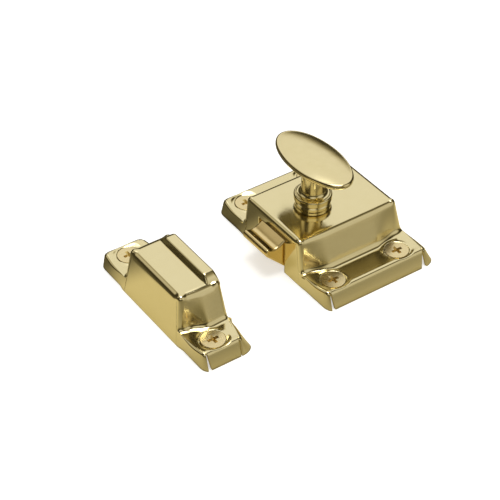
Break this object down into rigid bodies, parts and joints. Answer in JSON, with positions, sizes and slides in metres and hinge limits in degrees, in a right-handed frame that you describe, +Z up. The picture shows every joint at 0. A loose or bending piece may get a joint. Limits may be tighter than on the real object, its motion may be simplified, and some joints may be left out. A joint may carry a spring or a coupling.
{
  "type": "cupboard catch latch",
  "caption": "Surface cupboard catch with a turning oval knob, a spring bolt with a bevelled nose and a separate pressed strike.",
  "frame": {"origin": "middle of the four case screws, on the plane that the latch and the strike are screwed to", "axes": "+X across the two flanges of the case, -Y the side the bolt comes out of and where the strike stands, +Z up along the knob"},
  "size_m": [0.0546, 0.0791, 0.0428],
  "materials": {
    "case_brass": "polished and lacquered",
    "knob_brass": "polished and lacquered",
    "bolt_brass": "polished cast brass",
    "screw_brass": "brass plated",
    "inner_steel": "plain pressed steel",
    "spring_steel": "drawn wire"
  },
  "bodies": {
    "case_body": {"case": "case_brass", "bush": "case_brass", "bolt_cage": "inner_steel", "spring_rod": "inner_steel", "bolt_spring": "spring_steel", "case_screws": "screw_brass", "strike": "case_brass", "strike_screws": "screw_brass"},
    "knob_body": {"knob": "knob_brass", "spindle_washer": "inner_steel", "crank": "inner_steel", "crank_pin": "inner_steel"},
    "bolt_body": {"bolt": "bolt_brass"}
  },
  "joints": [
    {"name": "knob_turn", "type": "hinge", "parent": "case_body", "child": "knob_body", "pos_m": [0, -0.0031, 0.0148], "axis": [0, 0, 1], "range_deg": [0, 80.2]},
    {"name": "bolt_slide", "type": "slide", "parent": "case_body", "child": "bolt_body", "axis": [0, 1, 0], "range_m": [0, 0.00643], "stiffness_N_per_m": 200, "springref_m": -0.0055, "deforming": ["bolt_spring"]}
  ],
  "couplings": [
    {"joint": "knob_turn", "follows": "bolt_slide", "rad_per_m": 217.22}
  ]
}
